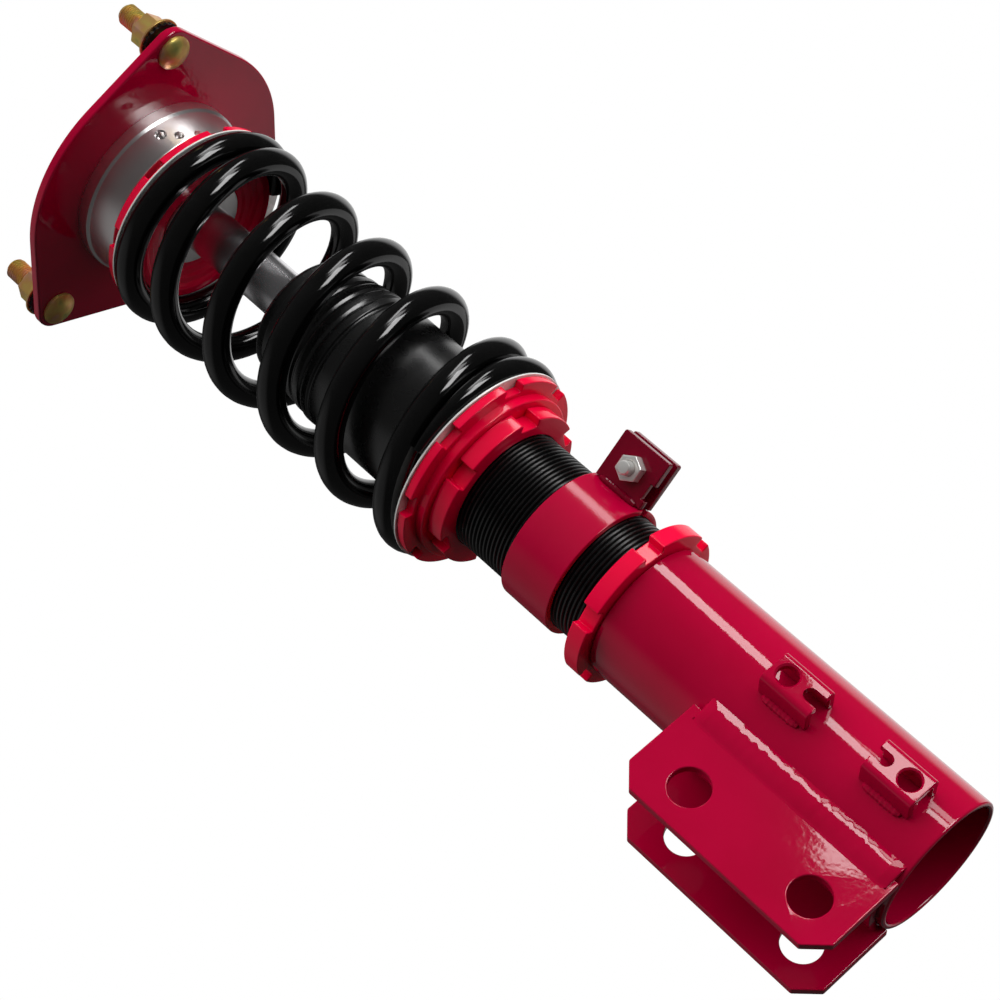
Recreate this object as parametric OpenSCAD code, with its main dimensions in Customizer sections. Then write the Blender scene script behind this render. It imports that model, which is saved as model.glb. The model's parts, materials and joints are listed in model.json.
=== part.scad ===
// Coilover strut for a MacPherson front suspension.
// Heights in the modules are measured up from the open end of the bracket tube.
// The finished strut is lowered by strut_h, so the origin is the centre of the
// top plate's upper face, +Z points up into the car's strut tower, and +X points
// from the strut axis towards the knuckle.

/* [Overall] */
// Height from the bracket tube's open end to the top plate's upper face
strut_h = 459; // [455:0.5:465]
// Gap left between faces of pieces that turn or slide on each other
face_gap = 0.15; // [0.1:0.05:0.3]
// Radial clearance of the rings and the bracket on the threaded body
thread_gap = 0.08; // [0.04:0.01:0.1]

/* [Threaded body] */
// Outer diameter of the body's thread
thread_d = 55; // [54.8:0.1:55.1]
// Pitch of the body's thread
thread_pitch = 2; // [1.5:0.5:2]
// Depth of the body's thread
thread_depth = 1.1; // [0.8:0.1:1.2]
// Bore that the piston runs in
bore_d = 46; // [45:0.5:47]
// Height of the body's lower end
body_z = 75; // [72:1:80]
// Height of the body's upper end
body_top_z = 325; // [320:1:328]

/* [Bracket tube and clevis] */
// Outer diameter of the bracket tube
tube_d = 60; // [59.6:0.1:60.4]
// Height of the bracket tube
tube_h = 150.4; // [149:0.2:150.6]
// Outer width across the two clevis ears
clevis_w = 42.8; // [42:0.2:44]
// Thickness of the clevis plate
ear_t = 4; // [3.5:0.5:4.5]
// Height of the clevis ears
ear_h = 100.5; // [99:0.5:102]
// Reach of the ears from the strut axis
ear_reach = 66.7; // [65:0.1:68]
// Chamfer on the ears' outer corners
ear_chamfer = 8.4; // [7:0.1:10]
// Diameter of the knuckle bolt holes
knuckle_hole_d = 16.5; // [14:0.5:17]
// Distance of the knuckle bolt holes from the strut axis
knuckle_hole_x = 50.5; // [49:0.1:52]
// Heights of the lower and upper knuckle bolt holes
knuckle_hole_z = [18.2, 77.4];

/* [Hose brackets] */
// Width of a hose bracket's face
hose_w = 15.5; // [15:0.5:17]
// Distance of the hose bracket's face from the strut axis
hose_face_y = 40; // [39:0.5:41]
// Thickness of a hose bracket
hose_t = 3; // [2.5:0.5:3]
// Length of a hose bracket along the tube
hose_l = 23.4; // [22:0.2:24]
// Diameter of the tapped hole's crests
hose_hole_d = 8.8; // [8.5:0.1:9]
// Distance of the tapped hole from the bracket's closed end
hose_hole_in = 7; // [6.5:0.1:8]

/* [Rings and spring seats] */
// Outer diameter of the lock rings
lock_d = 72; // [71:0.5:73]
// Height of a lock ring
lock_h = 7.7; // [7:0.1:8]
// Outer diameter of the spring seats
seat_d = 90; // [89:0.5:91]
// Thickness of a spring seat's flange
flange_t = 4; // [3.5:0.5:4]
// Width of the spanner notches
notch_w = 9; // [8:0.5:10]
// Depth of the spanner notches
notch_depth = 4; // [3:0.5:4.5]
// Height of the seat lock ring's lower face
seat_lock_z = 228.4; // [227:0.2:229]

/* [Clamp] */
// Outer diameter of the clamp collar
clamp_d = 60.6; // [60:0.2:62]
// Height of the clamp collar's lower face
clamp_z = 174.3; // [173:0.1:176]
// Height of the clamp collar
clamp_h = 25.5; // [24:0.5:27]
// Direction of the clamp's tabs around the strut axis
clamp_az = 140.5; // [130:0.5:150]
// Reach of the tabs from the strut axis
tab_reach = 51.9; // [48:0.1:52]
// Thickness of one tab
tab_t = 3.5; // [3:0.5:4]
// Gap between the tabs
tab_gap = 4; // [3:0.5:5]

/* [Spring] */
// Diameter of the spring wire
wire_d = 12; // [11.5:0.1:12.4]
// Outer diameter of the spring
spring_d = 96.4; // [95:0.1:97]
// Rise of the first free coil in one turn
pitch_low = 37.05; // [36.5:0.05:38]
// Loss of rise from each free coil to the next
pitch_fall = 0.71; // [0.6:0.01:0.8]
// Number of free turns
free_turns = 4.73; // [4.6:0.01:4.8]
// Number of closed turns at the lower end
low_turns = 0.86; // [0.5:0.02:0.9]
// Number of closed turns at the upper end
high_turns = 0.8; // [0.5:0.05:0.85]
// Direction where the first free coil starts to rise
spring_az = 1.5; // [-10:0.5:10]

/* [Top mount] */
// Thickness of the top plate
plate_t = 4.4; // [4:0.2:6]
// Radius of the top plate between its lobes
plate_r = 66.3; // [64:0.1:68]
// Offset of the plate's round part from the strut axis, towards the lone stud
plate_shift = 2; // [0:0.5:3]
// Radius of the lobe around each stud
lobe_r = 10.2; // [9:0.1:12]
// Distance of the studs from the strut axis
stud_circle_r = 69.5; // [68:0.5:71]
// Direction of the lone stud around the strut axis
stud_az = 219.4; // [215:0.1:225]
// Half the angle between the other two studs
stud_spread = 68.4; // [60:0.1:70]
// Diameter of the studs
stud_d = 10; // [8:1:10]
// Length of the studs above the plate
stud_l = 28; // [26:0.5:32]
// Height of the nuts' flanges above the plate, as they are before fitting
nut_lift = 4.9; // [2:0.1:8]
// Outer diameter of the bearing housing's upper band
housing_d = 83.6; // [82:0.2:84]
// Radius of the spherical bearing's ball
ball_r = 14; // [13.5:0.1:14.2]

/* [Rod and damping] */
// Diameter of the piston rod
rod_d = 22; // [21:0.5:22]
// Diameter of the rod's threaded top
rod_top_d = 14; // [12:1:14]
// Height of the rod's threaded end
rod_top_z = 480; // [478:1:484]

/* [Hidden] */

$fn = 96;
tiny = 0.02;

thread_r = thread_d / 2;
ring_bore_r = thread_r + thread_gap;
bore_r = bore_d / 2;
tube_r = tube_d / 2;
rod_r = rod_d / 2;

lower_lock_z = tube_h + 2 * face_gap;
seat_z = seat_lock_z + lock_h + face_gap;
seat_boss_h = 4;
flange_z = seat_z + seat_boss_h;
seat_top_z = flange_z + flange_t;
seat_washer_t = 0.9;
low_washer_z = seat_top_z + face_gap;
spring_z = low_washer_z + seat_washer_t + 0.05;

wire_r = wire_d / 2;
coil_r = spring_d / 2 - wire_r;
coil_bore_r = coil_r - wire_r;
locator_r = coil_bore_r - 0.4;
seat_washer_r = 45.9;
spring_rise = pitch_low * free_turns - pitch_fall * free_turns * free_turns / 2;
spring_top_z = spring_z + wire_d + spring_rise;
high_washer_z = spring_top_z + 0.05;
high_flange_z = high_washer_z + seat_washer_t + tiny;

plate_z = strut_h - plate_t;
ball_z = plate_z - 7.6;
ball_half_h = 10.5;
race_r = 19;
race_half_h = 5;
housing_h = 20.6;
housing_z = plate_z - housing_h;
rod_top_r = rod_top_d / 2;
collar_z = high_flange_z - 2.9;
rod_shoulder_z = collar_z + 1.6;

piston_z = 258;
piston_h = 18;
rod_foot_z = piston_z + piston_h + 3;
gland_z = 298;

stud_pitch_r = stud_d / 2 - 0.4;
nut_h = 10.6;
stud_angles = [stud_az, stud_az + 180 - stud_spread, stud_az + 180 + stud_spread];
// Direction and height of each blind hole in the bearing housing's side
housing_holes = [[91, 443], [99.9, 438.3], [111.8, 435.2]];
clamp_hole_r = 41.2;
clamp_hole_z = clamp_z + 12;

red_gloss = "firebrick";
red_anodised = "crimson";
steel = "silver";
gold_zinc = "darkkhaki";
black = "#202020";

// Lowers everything from tube heights to the strut's own origin
module lowered() {
    translate([0, 0, -strut_h]) children();
}

// Puts a piece at a height and a direction around the strut axis
module at(z, az = 0) {
    rotate([0, 0, az]) translate([0, 0, z]) children();
}

// A round tube standing on z = 0
module tube(outer_r, inner_r, h) {
    difference() {
        cylinder(r = outer_r, h = h);
        translate([0, 0, -1]) cylinder(r = inner_r, h = h + 2);
    }
}

// Nut with six flats across af and a chamfered upper end
module hex_nut(af, h, bore_r) {
    difference() {
        intersection() {
            cylinder(r = af / sqrt(3), h = h, $fn = 6);
            rotate_extrude() polygon([[0, 0], [0.6 * af, 0], [0.6 * af, 0.75 * h], [0.53 * af, h], [0, h]]);
        }
        translate([0, 0, -1]) cylinder(r = bore_r, h = h + 2);
    }
}

// Spanner notches cut into a ring's rim
module rim_notches(outer_r, count, first_az, h) {
    for (i = [0 : count - 1]) {
        rotate([0, 0, first_az + i * 360 / count])
            translate([outer_r - notch_depth, -notch_w / 2, -1])
                cube([notch_depth + 5, notch_w, h + 2]);
    }
}

// Castellated ring that runs on the body's thread
module lock_ring(first_az) {
    difference() {
        rotate_extrude()
            polygon([
                [ring_bore_r, 0.6], [ring_bore_r + 0.6, 0], [lock_d / 2 - 0.5, 0], [lock_d / 2, 0.5],
                [lock_d / 2, lock_h - 0.5], [lock_d / 2 - 0.5, lock_h],
                [ring_bore_r + 0.6, lock_h], [ring_bore_r, lock_h - 0.6],
            ]);
        rim_notches(lock_d / 2, 6, first_az, lock_h);
    }
}

// ---- Top mount ----

module plate_outline() {
    axis_shift = plate_shift * [cos(stud_az), sin(stud_az)];
    for (a = stud_angles) {
        hull() {
            translate(axis_shift) circle(r = plate_r);
            rotate(a) translate([stud_circle_r, 0]) circle(r = lobe_r);
        }
    }
}

module top_plate() {
    color(red_gloss) lowered() at(plate_z) difference() {
        linear_extrude(plate_t) plate_outline();
        translate([0, 0, -1]) cylinder(r = 22, h = plate_t + 2);
        on_studs(-1) cylinder(r = stud_d / 2 + 0.2 + tiny, h = plate_t + 2);
    }
}

// Puts a piece on each of the three studs
module on_studs(z) {
    for (a = stud_angles) {
        rotate([0, 0, a]) translate([stud_circle_r, 0, z]) children();
    }
}

// Round low head under the plate, pressed-in shank, and a thread drawn at its
// pitch line where the washer and the nut sit and at full size above the nut
module tower_studs() {
    head_r = 7.9;
    stud_r = stud_d / 2;
    free_z = nut_lift + nut_h + 0.6;
    color(gold_zinc) lowered() on_studs(strut_h) rotate_extrude()
        polygon([
            [0, -plate_t - 3.4], [4, -plate_t - 3.2], [head_r - 0.9, -plate_t - 2.3],
            [head_r, -plate_t - 1.2], [head_r, -plate_t - tiny], [stud_r + 0.2, -plate_t - tiny],
            [stud_r + 0.2, 0], [stud_pitch_r, 0.4], [stud_pitch_r, free_z - 0.4], [stud_r, free_z],
            [stud_r, stud_l - 1], [stud_r - 1, stud_l], [0, stud_l],
        ]);
}

// Toothed washers held captive under the nuts
module stud_washers() {
    color(black) lowered() on_studs(strut_h + nut_lift - 1.6) tube(9.4, stud_pitch_r + 0.1, 1.6 - tiny);
}

module stud_nuts() {
    flange_h = 1.6;
    color(gold_zinc) lowered() on_studs(strut_h + nut_lift) {
        tube(10.1, stud_pitch_r + tiny, flange_h);
        at(flange_h) hex_nut(14, nut_h - flange_h, stud_pitch_r + tiny);
    }
}

// Turned cup under the plate with the spherical bearing's seat in it
module bearing_housing() {
    outer_r = housing_d / 2;
    color(steel) lowered() difference() {
        at(housing_z) rotate_extrude()
            polygon([
                [16.5, 3.4], [24, 0], [38.6, 0], [39.2, 0.6], [outer_r - 1, 14.2], [outer_r, 15.2],
                [outer_r, housing_h - tiny], [race_r + tiny, housing_h - tiny], [race_r + tiny, 19.4],
                [20.5, 19.4], [20.5, 18], [race_r + tiny, 18], [race_r + tiny, 7.9], [16.5, 7.9],
            ]);
        for (hole = housing_holes) {
            at(hole[1], hole[0])
                translate([outer_r - 4.6, 0, 0]) rotate([0, 90, 0]) cylinder(r = 2.1, h = 6);
        }
    }
}

module bearing_race() {
    color(steel) lowered() at(ball_z) rotate_extrude() difference() {
        translate([10, -race_half_h]) square([race_r - 10, 2 * race_half_h]);
        circle(r = ball_r + 0.05);
    }
}

module bearing_circlip() {
    color("dimgray") lowered() at(ball_z + race_half_h + 0.05) difference() {
        tube(20.3, 17.2, 1.25);
        translate([12, -4, -1]) cube([12, 8, 4]);
    }
}

module bearing_ball() {
    color(steel) lowered() at(ball_z) rotate_extrude() difference() {
        intersection() {
            circle(r = ball_r);
            translate([0, -ball_half_h]) square([20, 2 * ball_half_h]);
        }
        translate([-1, -20]) square([1 + rod_top_r + 0.05, 40]);
    }
}

// ---- Rod and what is clamped to it ----

module piston_rod() {
    needle_bore_r = 3.05;
    tail_r = 6;
    tail_z = piston_z - 12;
    color(steel) lowered() rotate_extrude()
        polygon([
            [needle_bore_r, tail_z], [tail_r, tail_z], [tail_r, rod_foot_z], [rod_r, rod_foot_z],
            [rod_r, rod_shoulder_z], [rod_top_r, rod_shoulder_z], [rod_top_r, rod_top_z - 1],
            [rod_top_r - 1, rod_top_z], [needle_bore_r, rod_top_z],
        ]);
}

module rod_top_washer() {
    color(steel) lowered() at(ball_z + ball_half_h + 0.1) tube(12, rod_top_r + tiny, 2.4);
}

module rod_top_nut() {
    color(steel) lowered() at(ball_z + ball_half_h + 2.5 + tiny) hex_nut(22, 11, rod_top_r + tiny);
}

// Flanged spacer from the rod's shoulder up to the ball
module rod_collar() {
    neck_r = 9.2;
    neck_top = ball_z - ball_half_h - 0.1 - collar_z;
    color(steel) lowered() at(collar_z) rotate_extrude()
        polygon([
            [rod_top_r + tiny, 1.6 + tiny], [rod_r + 0.05, 1.6 + tiny], [rod_r + 0.05, 0],
            [19.8, 0], [20.3, 0.5], [20.3, 2.9 - tiny], [12, 2.9 - tiny], [12, 6.8], [neck_r, 7.8],
            [neck_r, neck_top], [rod_top_r + tiny, neck_top],
        ]);
}

// Castellated flange with a stepped dish that centres the spring's top coil
module upper_spring_seat() {
    dish_z = -6.2;
    color(red_anodised) lowered() at(high_flange_z) difference() {
        rotate_extrude()
            polygon([
                [12 + tiny, 0], [20.6, 0], [20.6, -2.2], [23, -2.4], [24, -3.2], [26.5, -3.4],
                [27.5, -4.4], [30, -4.6], [31, dish_z + 0.6], [32, dish_z], [locator_r - 1, dish_z],
                [locator_r, dish_z + 1], [locator_r, 0], [seat_d / 2 - 0.5, 0], [seat_d / 2, 0.5],
                [seat_d / 2, flange_t - 0.5], [seat_d / 2 - 0.5, flange_t], [12 + tiny, flange_t],
            ]);
        rim_notches(seat_d / 2, 8, 26, flange_t);
    }
}

module upper_seat_washer() {
    color(steel) lowered() at(high_washer_z) tube(seat_washer_r, locator_r + 0.1, seat_washer_t);
}

// ---- Spring ----

// Zero below -soft, x above soft, and a smooth bend between them
function bend(x, soft) = x < -soft ? 0 : x > soft ? x : (x + soft) * (x + soft) / (4 * soft);

// Height of the wire's centre, t turns after the lower end starts to rise
function coil_z(t) =
    let (u = free_turns - bend(free_turns - bend(t, 0.16), 0.3))
    spring_z + wire_r + pitch_low * u - pitch_fall * u * u / 2;

// Height of the wire's section at turn t: an end is tapered where the next coil closes on it
function wire_h(t) =
    let (gap = max(coil_z(t + 1) - coil_z(t), coil_z(t) - coil_z(t - 1)))
    min(wire_d, gap - 0.4);

// One ring of points around the wire at turn t, flush with the seat at a tapered end
function wire_ring(t, sides) =
    let (h = wire_h(t), end = t < free_turns / 2 ? -1 : 1)
    let (z = coil_z(t) + end * (wire_d - h) / 2)
    [
        for (k = [0 : sides - 1])
            let (q = 360 * k / sides, r = coil_r + wire_r * cos(q), a = spring_az + 360 * t)
            [r * cos(a), r * sin(a), z + h / 2 * sin(q)]
    ];

module main_spring() {
    sides = 10;
    steps = 24;
    count = round((low_turns + free_turns + high_turns) * steps);
    points = [for (i = [0 : count]) each wire_ring(i / steps - low_turns, sides)];
    walls = [
        for (i = [0 : count - 1], k = [0 : sides - 1])
            let (a = i * sides, b = a + sides, n = (k + 1) % sides)
            [a + k, a + n, b + n, b + k]
    ];
    ends = [[for (k = [sides - 1 : -1 : 0]) k], [for (k = [0 : sides - 1]) count * sides + k]];
    color(black) lowered() polyhedron(points, concat(walls, ends), convexity = 10);
}

// ---- Damper internals ----

module rebound_stop() {
    color(steel) lowered() at(rod_foot_z + 0.1) tube(15, rod_r + tiny, 5);
}

module piston() {
    color(steel) lowered() at(piston_z) difference() {
        tube(bore_r - 0.06, 6 + tiny, piston_h);
        translate([0, 0, 4]) tube(bore_r + 1, bore_r - 2, piston_h - 8);
        for (i = [0 : 5]) {
            rotate([0, 0, 60 * i]) translate([13, 0, -1]) cylinder(r = 2.2, h = piston_h + 2);
        }
    }
}

module piston_band() {
    color("sienna") lowered() at(piston_z + 4.1) tube(bore_r - 0.05, bore_r - 2 + tiny, piston_h - 8.2);
}

module shim_stack(z, step) {
    for (i = [0 : 4]) {
        at(z + i * step) tube(16 - 1.6 * i, 6 + tiny, 0.5);
    }
}

module rebound_shims() {
    color("gainsboro") lowered() shim_stack(piston_z - 0.6, -0.55);
}

module compression_shims() {
    color("gainsboro") lowered() shim_stack(piston_z + piston_h + 0.1, 0.55);
}

module piston_nut() {
    color(steel) lowered() at(piston_z - 11) hex_nut(18, 7.5, 6 + tiny);
}

module adjuster_knob() {
    color(red_anodised) lowered() at(rod_top_z + 0.2) difference() {
        union() {
            cylinder(r = 6.2, h = 9);
            at(9) cylinder(r1 = 6.2, r2 = 5.4, h = 0.8);
        }
        for (i = [0 : 17]) {
            rotate([0, 0, 20 * i]) translate([6.4, 0, 1.5]) cylinder(r = 0.55, h = 10, $fn = 24);
        }
        translate([0, 0, 7]) cylinder(r = 2.6, h = 4, $fn = 6);
    }
}

module adjuster_needle() {
    color("goldenrod") lowered() at(piston_z - 4) {
        cylinder(r1 = 0.6, r2 = 3, h = 8);
        at(8) cylinder(r = 3, h = rod_top_z - piston_z - 3.82);
    }
}

// ---- Adjustable lower seat ----

module lower_seat_washer() {
    color(steel) lowered() at(low_washer_z) tube(seat_washer_r, locator_r + 0.1, seat_washer_t);
}

module lower_spring_seat() {
    locator_h = 5;
    top = seat_boss_h + flange_t;
    color(red_anodised) lowered() at(seat_z) difference() {
        rotate_extrude()
            polygon([
                [ring_bore_r, 0.6], [ring_bore_r + 0.6, 0], [38.4, 0], [39, 0.6], [39, seat_boss_h],
                [seat_d / 2 - 0.5, seat_boss_h], [seat_d / 2, seat_boss_h + 0.5],
                [seat_d / 2, top - 0.5], [seat_d / 2 - 0.5, top], [locator_r, top],
                [locator_r, top + locator_h - 1], [locator_r - 1, top + locator_h],
                [ring_bore_r + 0.6, top + locator_h], [ring_bore_r, top + locator_h - 0.6],
            ]);
        rim_notches(seat_d / 2, 8, 22, top - 0.01);
    }
}

module seat_lock_ring() {
    color(red_anodised) lowered() at(seat_lock_z) lock_ring(53.7);
}

// ---- Damper body ----

// Thread drawn as ring grooves, so that it stays a true turned surface
module thread_grooves(from_z, to_z) {
    crest = 0.25;
    root = 0.15;
    rotate_extrude() for (z = [from_z : thread_pitch : to_z]) {
        polygon([
            [thread_r + 1, z + crest / 2], [thread_r, z + crest / 2],
            [thread_r - thread_depth, z + thread_pitch / 2 - root / 2],
            [thread_r - thread_depth, z + thread_pitch / 2 + root / 2],
            [thread_r, z + thread_pitch - crest / 2], [thread_r + 1, z + thread_pitch - crest / 2],
        ]);
    }
}

module threaded_body() {
    color(black) lowered() difference() {
        at(body_z) cylinder(r = thread_r, h = body_top_z - body_z);
        at(body_z - 1) cylinder(r = bore_r, h = body_top_z - body_z + 2);
        thread_grooves(150, 256);
    }
}

module rod_guide() {
    color("lightgray") lowered() at(gland_z) difference() {
        tube(bore_r - tiny, rod_r + 0.05, 20);
        at(12) cylinder(r = 15, h = 10);
    }
}

module rod_seal() {
    color("saddlebrown") lowered() at(gland_z + 12.1) tube(15 - tiny, rod_r + 0.05, 7.8);
}

module gland_ring() {
    color("dimgray") lowered() at(gland_z + 20.1) difference() {
        tube(bore_r - tiny, rod_r + 1, 6);
        for (i = [0 : 3]) {
            rotate([0, 0, 90 * i + 45]) translate([17.5, 0, 3]) cylinder(r = 1.5, h = 6);
        }
    }
}

// Urethane bumper with two waists, held inside the boot above the gland
module bump_stop() {
    color("khaki") lowered() at(body_top_z + 0.3) rotate_extrude()
        polygon([
            [rod_r + 0.3, 0], [19, 0], [20, 1], [20, 7], [18, 8.5], [18, 10], [20, 12], [19, 16],
            [17, 17.5], [17, 19], [18, 20.5], [17, 24], [rod_r + 0.3, 24],
        ]);
}

// Ribs of the boot, each a little smaller than the one below
function boot_ribs(z0, pitch, count) = [
    for (i = [0 : count - 1])
        let (crest = 32 - 0.8 * i, groove = crest - 1.8, z = z0 + i * pitch)
        each [[crest, z], [crest, z + 0.5 * pitch], [groove, z + 0.7 * pitch], [groove, z + 0.9 * pitch]]
];

// Smooth skirt over the body, five shallow ribs and a closing lip around the rod
module dust_boot() {
    outer = concat(
        [[thread_r + 0.05, 262.5], [31.6, 262.5], [32, 263], [32, 313], [31, 314.5]],
        boot_ribs(315.5, 6.3, 5),
        [[28.2, 348], [28.2, 351.6], [25.5, 354.4], [rod_r + 0.3, 354.4]]
    );
    inner = [[rod_r + 0.3, 351.4], [21.5, 351.4], [24, 349.4], [26, 330], [thread_r + 0.05, 326.5]];
    color(black) lowered() rotate_extrude() polygon(concat(outer, inner));
}

module base_plug() {
    color("lightgray") lowered() at(body_z) {
        difference() {
            cylinder(r = bore_r - tiny, h = 12);
            translate([0, 0, -1]) cylinder(r = 5, h = 14);
        }
    }
}

module gas_valve() {
    color("goldenrod") lowered() at(body_z - 4) {
        cylinder(r = 2.6, h = 6);
        at(4) cylinder(r = 5 - tiny, h = 11);
    }
}

module floating_piston() {
    color("lightgray") lowered() at(102) difference() {
        cylinder(r = bore_r - 0.06, h = 12);
        translate([0, 0, 4]) tube(bore_r + 1, bore_r - 2.6, 4);
        translate([0, 0, -1]) cylinder(r = 16, h = 4);
    }
}

module floating_piston_ring() {
    color(black) lowered() at(106.1) tube(bore_r - 0.05, bore_r - 2.6 + tiny, 3.8);
}

// ---- Clamp ----

module clamp_collar() {
    color(red_gloss) lowered() at(clamp_z, clamp_az) difference() {
        tube(clamp_d / 2, ring_bore_r, clamp_h);
        translate([20, -tab_gap / 2, -1]) cube([20, tab_gap, clamp_h + 2]);
    }
}

// Two flat tabs beside the collar's split, with a hole for the pinch bolt
module clamp_tabs() {
    foot = clamp_d / 2;
    color(red_gloss) lowered() at(clamp_z, clamp_az) for (side = [-1, 1]) {
        difference() {
            translate([foot - 3, side > 0 ? tab_gap / 2 : -tab_gap / 2 - tab_t, 0.4])
                cube([tab_reach - foot + 3, tab_t, 24]);
            translate([0, 0, -1]) cylinder(r = foot + tiny, h = clamp_h + 2);
            translate([clamp_hole_r, -20, clamp_hole_z - clamp_z])
                rotate([-90, 0, 0]) cylinder(r = 3.2, h = 40);
        }
    }
}

// Lays a piece along the pinch bolt's axis, towards the side with the nut
module on_clamp_bolt() {
    at(clamp_hole_z, clamp_az) translate([clamp_hole_r, 0, 0]) rotate([90, 0, 0]) children();
}

module clamp_bolt() {
    outside = tab_gap / 2 + tab_t + tiny;
    color(steel) lowered() on_clamp_bolt() {
        translate([0, 0, -outside - 4]) cylinder(r = 10 / sqrt(3), h = 4, $fn = 6);
        translate([0, 0, -outside - 1]) cylinder(r = 3, h = 2 * outside + 1 + 9.4);
    }
}

module clamp_nut() {
    outside = tab_gap / 2 + tab_t + tiny;
    color(steel) lowered() on_clamp_bolt() translate([0, 0, outside]) hex_nut(10, 5, 3 + tiny);
}

// ---- Bracket tube and clevis ----

module bracket_tube() {
    color(red_gloss) lowered() rotate_extrude()
        polygon([
            [ring_bore_r, 0.8], [ring_bore_r + 0.8, 0], [tube_r - 0.9, 0], [tube_r, 0.9],
            [tube_r, tube_h - 0.8], [tube_r - 0.8, tube_h], [ring_bore_r + 0.6, tube_h],
            [ring_bore_r, tube_h - 0.6],
        ]);
}

module ear_outline() {
    polygon([
        [18, 0], [ear_reach - ear_chamfer, 0], [ear_reach, ear_chamfer],
        [ear_reach, ear_h - ear_chamfer], [ear_reach - ear_chamfer, ear_h], [18, ear_h],
    ]);
}

// U-shaped plate: two ears joined by a web that follows the tube
module clevis_bracket() {
    half_w = clevis_w / 2;
    color(red_gloss) lowered() difference() {
        union() {
            for (side = [-1, 1]) {
                translate([0, side > 0 ? half_w : -half_w + ear_t, 0])
                    rotate([90, 0, 0]) linear_extrude(ear_t) ear_outline();
            }
            intersection() {
                at(3) cylinder(r = tube_r + 3.5, h = ear_h - 6);
                translate([15, -half_w + 1, 0]) cube([30, 2 * half_w - 2, ear_h]);
            }
        }
        at(-1) cylinder(r = tube_r + tiny, h = ear_h + 2);
        for (z = knuckle_hole_z) {
            translate([knuckle_hole_x, half_w + 1, z])
                rotate([90, 0, 0]) cylinder(r = knuckle_hole_d / 2, h = clevis_w + 2);
        }
    }
}

// Weld beads that fill the valley between each ear and the tube
module clevis_welds() {
    bead = [for (t = [0 : 0.1 : 1]) [18.2 + 12 * t, 24 - 2.4 * t + 1.1 * sin(180 * t)]];
    color(red_gloss) lowered() for (side = [0, 1]) {
        mirror([0, side, 0]) difference() {
            at(1.5) linear_extrude(ear_h - 5) polygon(concat(bead, [[30, 21.5], [18, 21.5]]));
            at(0) cylinder(r = tube_r + tiny, h = ear_h);
            translate([0, -30, 0]) cube([60, 30 + clevis_w / 2 + tiny, ear_h]);
        }
    }
}

// Channel standing on the tube: tapped hole near one end, key slot in the other
module hose_bracket() {
    half_w = hose_w / 2;
    slot_r = 2.95;
    color(red_gloss) difference() {
        translate([-half_w, 26, 0]) cube([hose_w, hose_face_y - 26, hose_l]);
        translate([-half_w + hose_t, 20, -1])
            cube([hose_w - 2 * hose_t, hose_face_y - hose_t - 20, hose_l + 2]);
        translate([0, 0, -1]) cylinder(r = tube_r + tiny, h = hose_l + 2);
        translate([0, hose_face_y + 1, hose_hole_in])
            rotate([90, 0, 0]) cylinder(r = hose_hole_d / 2, h = 6);
        translate([0, hose_face_y + 1, hose_l - 8 + slot_r])
            rotate([90, 0, 0]) cylinder(r = slot_r, h = 6);
        translate([-slot_r, hose_face_y - 5, hose_l - 8 + slot_r]) cube([2 * slot_r, 6, 10]);
    }
}

module upper_hose_bracket() {
    lowered() translate([0, 0, 85.4]) mirror([0, 0, 1]) hose_bracket();
}

module lower_hose_bracket() {
    lowered() translate([0, 0, 12.6]) hose_bracket();
}

module lower_lock_ring() {
    color(red_anodised) lowered() at(lower_lock_z) lock_ring(37.5);
}

top_plate();
tower_studs();
stud_washers();
stud_nuts();
bearing_housing();
bearing_race();
bearing_circlip();
bearing_ball();
piston_rod();
rod_top_washer();
rod_top_nut();
rod_collar();
upper_spring_seat();
upper_seat_washer();
main_spring();
rebound_stop();
piston();
piston_band();
rebound_shims();
compression_shims();
piston_nut();
adjuster_knob();
adjuster_needle();
lower_seat_washer();
lower_spring_seat();
seat_lock_ring();
threaded_body();
rod_guide();
rod_seal();
gland_ring();
bump_stop();
dust_boot();
base_plug();
gas_valve();
floating_piston();
floating_piston_ring();
clamp_collar();
clamp_tabs();
clamp_bolt();
clamp_nut();
bracket_tube();
clevis_bracket();
clevis_welds();
upper_hose_bracket();
lower_hose_bracket();
lower_lock_ring();
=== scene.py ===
"""Detailed visual model of a coilover strut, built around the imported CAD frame.

Shapes are given in millimetres, with heights measured up from the open end of the
bracket tube.
"""
import json
import math

import bmesh
import bpy
import numpy as np
from mathutils import Matrix, Vector, noise
from mathutils.geometry import tessellate_polygon


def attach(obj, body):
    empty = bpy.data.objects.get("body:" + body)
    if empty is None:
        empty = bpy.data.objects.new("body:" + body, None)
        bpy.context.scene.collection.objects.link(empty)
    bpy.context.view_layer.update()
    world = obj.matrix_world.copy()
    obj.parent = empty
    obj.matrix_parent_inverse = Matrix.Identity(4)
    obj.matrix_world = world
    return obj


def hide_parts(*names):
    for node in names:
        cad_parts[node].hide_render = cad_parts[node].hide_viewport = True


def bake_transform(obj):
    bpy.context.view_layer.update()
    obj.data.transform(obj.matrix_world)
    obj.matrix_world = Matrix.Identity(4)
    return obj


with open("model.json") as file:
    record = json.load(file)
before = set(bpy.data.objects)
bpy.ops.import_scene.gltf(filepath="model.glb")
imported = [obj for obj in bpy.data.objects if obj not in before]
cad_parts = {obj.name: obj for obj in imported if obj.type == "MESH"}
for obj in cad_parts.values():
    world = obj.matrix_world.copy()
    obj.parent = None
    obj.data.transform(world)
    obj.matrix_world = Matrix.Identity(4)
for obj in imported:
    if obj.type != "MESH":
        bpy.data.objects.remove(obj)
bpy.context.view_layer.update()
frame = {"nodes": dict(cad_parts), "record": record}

RECORD = frame["record"]
BODY_OF = {n: body for body, names in RECORD["behaviour"]["bodies"].items() for n in names}
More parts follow.
